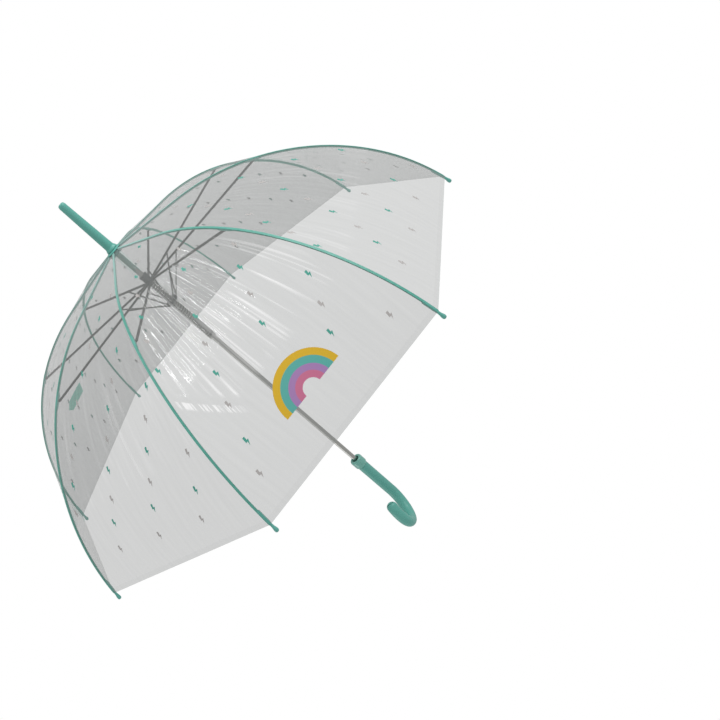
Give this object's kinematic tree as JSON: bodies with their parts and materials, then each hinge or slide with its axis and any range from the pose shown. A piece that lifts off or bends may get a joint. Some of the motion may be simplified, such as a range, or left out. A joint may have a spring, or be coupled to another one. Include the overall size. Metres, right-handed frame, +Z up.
{
  "type": "children's dome umbrella",
  "caption": "Clear dome umbrella on a straight push-button stick, with ribs, stretchers, struts, sliding hubs, a strap and a crook handle.",
  "frame": {"origin": "middle of the handle's straight grip, on the shaft's axis", "axes": "+Z up the shaft towards the ferrule, +X towards the opening of the hook"},
  "size_m": [0.8232, 0.8232, 0.7861],
  "materials": {
    "steel_tube": "drawn steel tube, satin",
    "spring_steel": "bright wound wire",
    "frame_metal": "dark coated wire and hubs",
    "mint_coated_wire": "coated wire, satin",
    "mint_plastic": "moulded, satin gloss",
    "pale_mint_plastic": "moulded, glossy",
    "button_plastic": "moulded, glossy",
    "clear_film": "thin soft clear film, glossy and lightly creased",
    "strap_film": "soft welded strap"
  },
  "bodies": {
    "root": {"shaft": "steel_tube", "ferrule": "mint_plastic", "crown_hub": "frame_metal", "crown_washer": "mint_plastic", "handle": "mint_plastic", "collar": "pale_mint_plastic"},
    "runner_slider": {"runner": "frame_metal", "opening_spring": "spring_steel"},
    "strut_slider": {"strut_hub": "frame_metal"},
    "button": {"release_button": "button_plastic"},
    "rib_1": {"rib_upper_1": "mint_coated_wire"},
    "rib_1_end": {"rib_lower_1": "mint_coated_wire"},
    "gore_1": {"gore_upper_1": "clear_film"},
    "gore_1_end": {"gore_lower_1": "clear_film"},
    "stretcher_arm_1": {"stretcher_1": "frame_metal"},
    "strut_arm_1": {"strut_1": "frame_metal"},
    "rib_2": {"rib_upper_2": "mint_coated_wire"},
    "rib_2_end": {"rib_lower_2": "mint_coated_wire"},
    "gore_2": {"gore_upper_2": "clear_film"},
    "gore_2_end": {"gore_lower_2": "clear_film"},
    "stretcher_arm_2": {"stretcher_2": "frame_metal"},
    "strut_arm_2": {"strut_2": "frame_metal"},
    "rib_3": {"rib_upper_3": "mint_coated_wire"},
    "rib_3_end": {"rib_lower_3": "mint_coated_wire"},
    "gore_3": {"gore_upper_3": "clear_film"},
    "gore_3_end": {"gore_lower_3": "clear_film"},
    "stretcher_arm_3": {"stretcher_3": "frame_metal"},
    "strut_arm_3": {"strut_3": "frame_metal"},
    "rib_4": {"rib_upper_4": "mint_coated_wire"},
    "rib_4_end": {"rib_lower_4": "mint_coated_wire"},
    "gore_4": {"gore_upper_4": "clear_film"},
    "gore_4_end": {"gore_lower_4": "clear_film"},
    "stretcher_arm_4": {"stretcher_4": "frame_metal"},
    "strut_arm_4": {"strut_4": "frame_metal"},
    "rib_5": {"rib_upper_5": "mint_coated_wire"},
    "rib_5_end": {"rib_lower_5": "mint_coated_wire"},
    "gore_5": {"gore_upper_5": "clear_film"},
    "gore_5_end": {"gore_lower_5": "clear_film"},
    "stretcher_arm_5": {"stretcher_5": "frame_metal"},
    "strut_arm_5": {"strut_5": "frame_metal"},
    "rib_6": {"rib_upper_6": "mint_coated_wire"},
    "rib_6_end": {"rib_lower_6": "mint_coated_wire"},
    "gore_6": {"gore_upper_6": "clear_film"},
    "gore_6_end": {"gore_lower_6": "clear_film", "tie_strap": "strap_film"},
    "stretcher_arm_6": {"stretcher_6": "frame_metal"},
    "strut_arm_6": {"strut_6": "frame_metal"},
    "rib_7": {"rib_upper_7": "mint_coated_wire"},
    "rib_7_end": {"rib_lower_7": "mint_coated_wire"},
    "gore_7": {"gore_upper_7": "clear_film"},
    "gore_7_end": {"gore_lower_7": "clear_film"},
    "stretcher_arm_7": {"stretcher_7": "frame_metal"},
    "strut_arm_7": {"strut_7": "frame_metal"},
    "rib_8": {"rib_upper_8": "mint_coated_wire"},
    "rib_8_end": {"rib_lower_8": "mint_coated_wire"},
    "gore_8": {"gore_upper_8": "clear_film"},
    "gore_8_end": {"gore_lower_8": "clear_film"},
    "stretcher_arm_8": {"stretcher_8": "frame_metal"},
    "strut_arm_8": {"strut_8": "frame_metal"}
  },
  "joints": [
    {"name": "runner_slide", "type": "slide", "parent": "root", "child": "runner_slider", "axis": [0, 0, -1], "range_m": [0, 0.38137], "stiffness_N_per_m": 66, "springref_m": -0.18},
    {"name": "strut_hub_slide", "type": "slide", "parent": "runner_slider", "child": "strut_slider", "axis": [0, 0, 1], "range_m": [0, 0.02615], "deforming": ["opening_spring"]},
    {"name": "button_press", "type": "slide", "parent": "root", "child": "button", "axis": [1, 0, 0], "range_m": [0, 0.0015], "stiffness_N_per_m": 800, "springref_m": -0.0015},
    {"name": "rib_hinge_1", "type": "hinge", "parent": "root", "child": "rib_1", "pos_m": [0.0075, 0, 0.59932], "axis": [0, 1, 0], "range_deg": [0, 70.41]},
    {"name": "rib_flex_1", "type": "hinge", "parent": "rib_1", "child": "rib_1_end", "pos_m": [0.29233, 0, 0.50564], "axis": [0, 1, 0], "range_deg": [-39.36, 0]},
    {"name": "gore_hinge_1", "type": "hinge", "parent": "root", "child": "gore_1", "pos_m": [0.00661, 0.00274, 0.60081], "axis": [-0.3827, 0.9239, 0], "range_deg": [0, 68.83], "deforming": ["gore_upper_1"]},
    {"name": "gore_flex_1", "type": "hinge", "parent": "gore_1", "child": "gore_1_end", "pos_m": [0.25045, 0.10374, 0.50676], "axis": [-0.3827, 0.9239, 0], "range_deg": [-39.13, 0], "deforming": ["gore_lower_1"]},
    {"name": "stretcher_hinge_1", "type": "hinge", "parent": "runner_slider", "child": "stretcher_arm_1", "pos_m": [0.0095, 0, 0.53312], "axis": [0, -1, 0], "range_deg": [0, 81.39]},
    {"name": "strut_hinge_1", "type": "hinge", "parent": "strut_slider", "child": "strut_arm_1", "pos_m": [0.0095, 0, 0.48912], "axis": [0, -1, 0], "range_deg": [0, 43.88]},
    {"name": "rib_hinge_2", "type": "hinge", "parent": "root", "child": "rib_2", "pos_m": [0.0053, 0.0053, 0.59932], "axis": [-0.7071, 0.7071, 0], "range_deg": [0, 70.41]},
    {"name": "rib_flex_2", "type": "hinge", "parent": "rib_2", "child": "rib_2_end", "pos_m": [0.20671, 0.20671, 0.50564], "axis": [-0.7071, 0.7071, 0], "range_deg": [-39.36, 0]},
    {"name": "gore_hinge_2", "type": "hinge", "parent": "root", "child": "gore_2", "pos_m": [0.00274, 0.00661, 0.60081], "axis": [-0.9239, 0.3827, 0], "range_deg": [0, 68.83], "deforming": ["gore_upper_2"]},
    {"name": "gore_flex_2", "type": "hinge", "parent": "gore_2", "child": "gore_2_end", "pos_m": [0.10374, 0.25045, 0.50676], "axis": [-0.9239, 0.3827, 0], "range_deg": [-39.13, 0], "deforming": ["gore_lower_2"]},
    {"name": "stretcher_hinge_2", "type": "hinge", "parent": "runner_slider", "child": "stretcher_arm_2", "pos_m": [0.00672, 0.00672, 0.53312], "axis": [0.7071, -0.7071, 0], "range_deg": [0, 81.39]},
    {"name": "strut_hinge_2", "type": "hinge", "parent": "strut_slider", "child": "strut_arm_2", "pos_m": [0.00672, 0.00672, 0.48912], "axis": [0.7071, -0.7071, 0], "range_deg": [0, 43.88]},
    {"name": "rib_hinge_3", "type": "hinge", "parent": "root", "child": "rib_3", "pos_m": [0, 0.0075, 0.59932], "axis": [-1, 0, 0], "range_deg": [0, 70.41]},
    {"name": "rib_flex_3", "type": "hinge", "parent": "rib_3", "child": "rib_3_end", "pos_m": [0, 0.29233, 0.50564], "axis": [-1, 0, 0], "range_deg": [-39.36, 0]},
    {"name": "gore_hinge_3", "type": "hinge", "parent": "root", "child": "gore_3", "pos_m": [-0.00274, 0.00661, 0.60081], "axis": [-0.9239, -0.3827, 0], "range_deg": [0, 68.83], "deforming": ["gore_upper_3"]},
    {"name": "gore_flex_3", "type": "hinge", "parent": "gore_3", "child": "gore_3_end", "pos_m": [-0.10374, 0.25045, 0.50676], "axis": [-0.9239, -0.3827, 0], "range_deg": [-39.13, 0], "deforming": ["gore_lower_3"]},
    {"name": "stretcher_hinge_3", "type": "hinge", "parent": "runner_slider", "child": "stretcher_arm_3", "pos_m": [0, 0.0095, 0.53312], "axis": [1, 0, 0], "range_deg": [0, 81.39]},
    {"name": "strut_hinge_3", "type": "hinge", "parent": "strut_slider", "child": "strut_arm_3", "pos_m": [0, 0.0095, 0.48912], "axis": [1, 0, 0], "range_deg": [0, 43.88]},
    {"name": "rib_hinge_4", "type": "hinge", "parent": "root", "child": "rib_4", "pos_m": [-0.0053, 0.0053, 0.59932], "axis": [-0.7071, -0.7071, 0], "range_deg": [0, 70.41]},
    {"name": "rib_flex_4", "type": "hinge", "parent": "rib_4", "child": "rib_4_end", "pos_m": [-0.20671, 0.20671, 0.50564], "axis": [-0.7071, -0.7071, 0], "range_deg": [-39.36, 0]},
    {"name": "gore_hinge_4", "type": "hinge", "parent": "root", "child": "gore_4", "pos_m": [-0.00661, 0.00274, 0.60081], "axis": [-0.3827, -0.9239, 0], "range_deg": [0, 68.83], "deforming": ["gore_upper_4"]},
    {"name": "gore_flex_4", "type": "hinge", "parent": "gore_4", "child": "gore_4_end", "pos_m": [-0.25045, 0.10374, 0.50676], "axis": [-0.3827, -0.9239, 0], "range_deg": [-39.13, 0], "deforming": ["gore_lower_4"]},
    {"name": "stretcher_hinge_4", "type": "hinge", "parent": "runner_slider", "child": "stretcher_arm_4", "pos_m": [-0.00672, 0.00672, 0.53312], "axis": [0.7071, 0.7071, 0], "range_deg": [0, 81.39]},
    {"name": "strut_hinge_4", "type": "hinge", "parent": "strut_slider", "child": "strut_arm_4", "pos_m": [-0.00672, 0.00672, 0.48912], "axis": [0.7071, 0.7071, 0], "range_deg": [0, 43.88]},
    {"name": "rib_hinge_5", "type": "hinge", "parent": "root", "child": "rib_5", "pos_m": [-0.0075, 0, 0.59932], "axis": [0, -1, 0], "range_deg": [0, 70.41]},
    {"name": "rib_flex_5", "type": "hinge", "parent": "rib_5", "child": "rib_5_end", "pos_m": [-0.29233, 0, 0.50564], "axis": [0, -1, 0], "range_deg": [-39.36, 0]},
    {"name": "gore_hinge_5", "type": "hinge", "parent": "root", "child": "gore_5", "pos_m": [-0.00661, -0.00274, 0.60081], "axis": [0.3827, -0.9239, 0], "range_deg": [0, 68.83], "deforming": ["gore_upper_5"]},
    {"name": "gore_flex_5", "type": "hinge", "parent": "gore_5", "child": "gore_5_end", "pos_m": [-0.25045, -0.10374, 0.50676], "axis": [0.3827, -0.9239, 0], "range_deg": [-39.13, 0], "deforming": ["gore_lower_5"]},
    {"name": "stretcher_hinge_5", "type": "hinge", "parent": "runner_slider", "child": "stretcher_arm_5", "pos_m": [-0.0095, 0, 0.53312], "axis": [0, 1, 0], "range_deg": [0, 81.39]},
    {"name": "strut_hinge_5", "type": "hinge", "parent": "strut_slider", "child": "strut_arm_5", "pos_m": [-0.0095, 0, 0.48912], "axis": [0, 1, 0], "range_deg": [0, 43.88]},
    {"name": "rib_hinge_6", "type": "hinge", "parent": "root", "child": "rib_6", "pos_m": [-0.0053, -0.0053, 0.59932], "axis": [0.7071, -0.7071, 0], "range_deg": [0, 70.41]},
    {"name": "rib_flex_6", "type": "hinge", "parent": "rib_6", "child": "rib_6_end", "pos_m": [-0.20671, -0.20671, 0.50564], "axis": [0.7071, -0.7071, 0], "range_deg": [-39.36, 0]},
    {"name": "gore_hinge_6", "type": "hinge", "parent": "root", "child": "gore_6", "pos_m": [-0.00274, -0.00661, 0.60081], "axis": [0.9239, -0.3827, 0], "range_deg": [0, 68.83], "deforming": ["gore_upper_6"]},
    {"name": "gore_flex_6", "type": "hinge", "parent": "gore_6", "child": "gore_6_end", "pos_m": [-0.10374, -0.25045, 0.50676], "axis": [0.9239, -0.3827, 0], "range_deg": [-39.13, 0], "deforming": ["gore_lower_6", "tie_strap"]},
    {"name": "stretcher_hinge_6", "type": "hinge", "parent": "runner_slider", "child": "stretcher_arm_6", "pos_m": [-0.00672, -0.00672, 0.53312], "axis": [-0.7071, 0.7071, 0], "range_deg": [0, 81.39]},
    {"name": "strut_hinge_6", "type": "hinge", "parent": "strut_slider", "child": "strut_arm_6", "pos_m": [-0.00672, -0.00672, 0.48912], "axis": [-0.7071, 0.7071, 0], "range_deg": [0, 43.88]},
    {"name": "rib_hinge_7", "type": "hinge", "parent": "root", "child": "rib_7", "pos_m": [0, -0.0075, 0.59932], "axis": [1, 0, 0], "range_deg": [0, 70.41]},
    {"name": "rib_flex_7", "type": "hinge", "parent": "rib_7", "child": "rib_7_end", "pos_m": [0, -0.29233, 0.50564], "axis": [1, 0, 0], "range_deg": [-39.36, 0]},
    {"name": "gore_hinge_7", "type": "hinge", "parent": "root", "child": "gore_7", "pos_m": [0.00274, -0.00661, 0.60081], "axis": [0.9239, 0.3827, 0], "range_deg": [0, 68.83], "deforming": ["gore_upper_7"]},
    {"name": "gore_flex_7", "type": "hinge", "parent": "gore_7", "child": "gore_7_end", "pos_m": [0.10374, -0.25045, 0.50676], "axis": [0.9239, 0.3827, 0], "range_deg": [-39.13, 0], "deforming": ["gore_lower_7"]},
    {"name": "stretcher_hinge_7", "type": "hinge", "parent": "runner_slider", "child": "stretcher_arm_7", "pos_m": [0, -0.0095, 0.53312], "axis": [-1, 0, 0], "range_deg": [0, 81.39]},
    {"name": "strut_hinge_7", "type": "hinge", "parent": "strut_slider", "child": "strut_arm_7", "pos_m": [0, -0.0095, 0.48912], "axis": [-1, 0, 0], "range_deg": [0, 43.88]},
    {"name": "rib_hinge_8", "type": "hinge", "parent": "root", "child": "rib_8", "pos_m": [0.0053, -0.0053, 0.59932], "axis": [0.7071, 0.7071, 0], "range_deg": [0, 70.41]},
    {"name": "rib_flex_8", "type": "hinge", "parent": "rib_8", "child": "rib_8_end", "pos_m": [0.20671, -0.20671, 0.50564], "axis": [0.7071, 0.7071, 0], "range_deg": [-39.36, 0]},
    {"name": "gore_hinge_8", "type": "hinge", "parent": "root", "child": "gore_8", "pos_m": [0.00661, -0.00274, 0.60081], "axis": [0.3827, 0.9239, 0], "range_deg": [0, 68.83], "deforming": ["gore_upper_8"]},
    {"name": "gore_flex_8", "type": "hinge", "parent": "gore_8", "child": "gore_8_end", "pos_m": [0.25045, -0.10374, 0.50676], "axis": [0.3827, 0.9239, 0], "range_deg": [-39.13, 0], "deforming": ["gore_lower_8"]},
    {"name": "stretcher_hinge_8", "type": "hinge", "parent": "runner_slider", "child": "stretcher_arm_8", "pos_m": [0.00672, -0.00672, 0.53312], "axis": [-0.7071, -0.7071, 0], "range_deg": [0, 81.39]},
    {"name": "strut_hinge_8", "type": "hinge", "parent": "strut_slider", "child": "strut_arm_8", "pos_m": [0.00672, -0.00672, 0.48912], "axis": [-0.7071, -0.7071, 0], "range_deg": [0, 43.88]}
  ],
  "couplings": [
    {"joint": "strut_hub_slide", "follows": "runner_slide", "ratio": 0.068306},
    {"joint": "rib_hinge_1", "follows": "runner_slide", "rad_per_m": 3.22},
    {"joint": "rib_flex_1", "follows": "runner_slide", "rad_per_m": -1.7988},
    {"joint": "gore_hinge_1", "follows": "runner_slide", "rad_per_m": 3.1478},
    {"joint": "gore_flex_1", "follows": "runner_slide", "rad_per_m": -1.7885},
    {"joint": "stretcher_hinge_1", "follows": "runner_slide", "rad_per_m": 3.7227},
    {"joint": "strut_hinge_1", "follows": "runner_slide", "rad_per_m": 2.0057},
    {"joint": "rib_hinge_2", "follows": "runner_slide", "rad_per_m": 3.22},
    {"joint": "rib_flex_2", "follows": "runner_slide", "rad_per_m": -1.7988},
    {"joint": "gore_hinge_2", "follows": "runner_slide", "rad_per_m": 3.1478},
    {"joint": "gore_flex_2", "follows": "runner_slide", "rad_per_m": -1.7885},
    {"joint": "stretcher_hinge_2", "follows": "runner_slide", "rad_per_m": 3.7227},
    {"joint": "strut_hinge_2", "follows": "runner_slide", "rad_per_m": 2.0057},
    {"joint": "rib_hinge_3", "follows": "runner_slide", "rad_per_m": 3.22},
    {"joint": "rib_flex_3", "follows": "runner_slide", "rad_per_m": -1.7988},
    {"joint": "gore_hinge_3", "follows": "runner_slide", "rad_per_m": 3.1478},
    {"joint": "gore_flex_3", "follows": "runner_slide", "rad_per_m": -1.7885},
    {"joint": "stretcher_hinge_3", "follows": "runner_slide", "rad_per_m": 3.7227},
    {"joint": "strut_hinge_3", "follows": "runner_slide", "rad_per_m": 2.0057},
    {"joint": "rib_hinge_4", "follows": "runner_slide", "rad_per_m": 3.22},
    {"joint": "rib_flex_4", "follows": "runner_slide", "rad_per_m": -1.7988},
    {"joint": "gore_hinge_4", "follows": "runner_slide", "rad_per_m": 3.1478},
    {"joint": "gore_flex_4", "follows": "runner_slide", "rad_per_m": -1.7885},
    {"joint": "stretcher_hinge_4", "follows": "runner_slide", "rad_per_m": 3.7227},
    {"joint": "strut_hinge_4", "follows": "runner_slide", "rad_per_m": 2.0057},
    {"joint": "rib_hinge_5", "follows": "runner_slide", "rad_per_m": 3.22},
    {"joint": "rib_flex_5", "follows": "runner_slide", "rad_per_m": -1.7988},
    {"joint": "gore_hinge_5", "follows": "runner_slide", "rad_per_m": 3.1478},
    {"joint": "gore_flex_5", "follows": "runner_slide", "rad_per_m": -1.7885},
    {"joint": "stretcher_hinge_5", "follows": "runner_slide", "rad_per_m": 3.7227},
    {"joint": "strut_hinge_5", "follows": "runner_slide", "rad_per_m": 2.0057},
    {"joint": "rib_hinge_6", "follows": "runner_slide", "rad_per_m": 3.22},
    {"joint": "rib_flex_6", "follows": "runner_slide", "rad_per_m": -1.7988},
    {"joint": "gore_hinge_6", "follows": "runner_slide", "rad_per_m": 3.1478},
    {"joint": "gore_flex_6", "follows": "runner_slide", "rad_per_m": -1.7885},
    {"joint": "stretcher_hinge_6", "follows": "runner_slide", "rad_per_m": 3.7227},
    {"joint": "strut_hinge_6", "follows": "runner_slide", "rad_per_m": 2.0057},
    {"joint": "rib_hinge_7", "follows": "runner_slide", "rad_per_m": 3.22},
    {"joint": "rib_flex_7", "follows": "runner_slide", "rad_per_m": -1.7988},
    {"joint": "gore_hinge_7", "follows": "runner_slide", "rad_per_m": 3.1478},
    {"joint": "gore_flex_7", "follows": "runner_slide", "rad_per_m": -1.7885},
    {"joint": "stretcher_hinge_7", "follows": "runner_slide", "rad_per_m": 3.7227},
    {"joint": "strut_hinge_7", "follows": "runner_slide", "rad_per_m": 2.0057},
    {"joint": "rib_hinge_8", "follows": "runner_slide", "rad_per_m": 3.22},
    {"joint": "rib_flex_8", "follows": "runner_slide", "rad_per_m": -1.7988},
    {"joint": "gore_hinge_8", "follows": "runner_slide", "rad_per_m": 3.1478},
    {"joint": "gore_flex_8", "follows": "runner_slide", "rad_per_m": -1.7885},
    {"joint": "stretcher_hinge_8", "follows": "runner_slide", "rad_per_m": 3.7227},
    {"joint": "strut_hinge_8", "follows": "runner_slide", "rad_per_m": 2.0057}
  ]
}
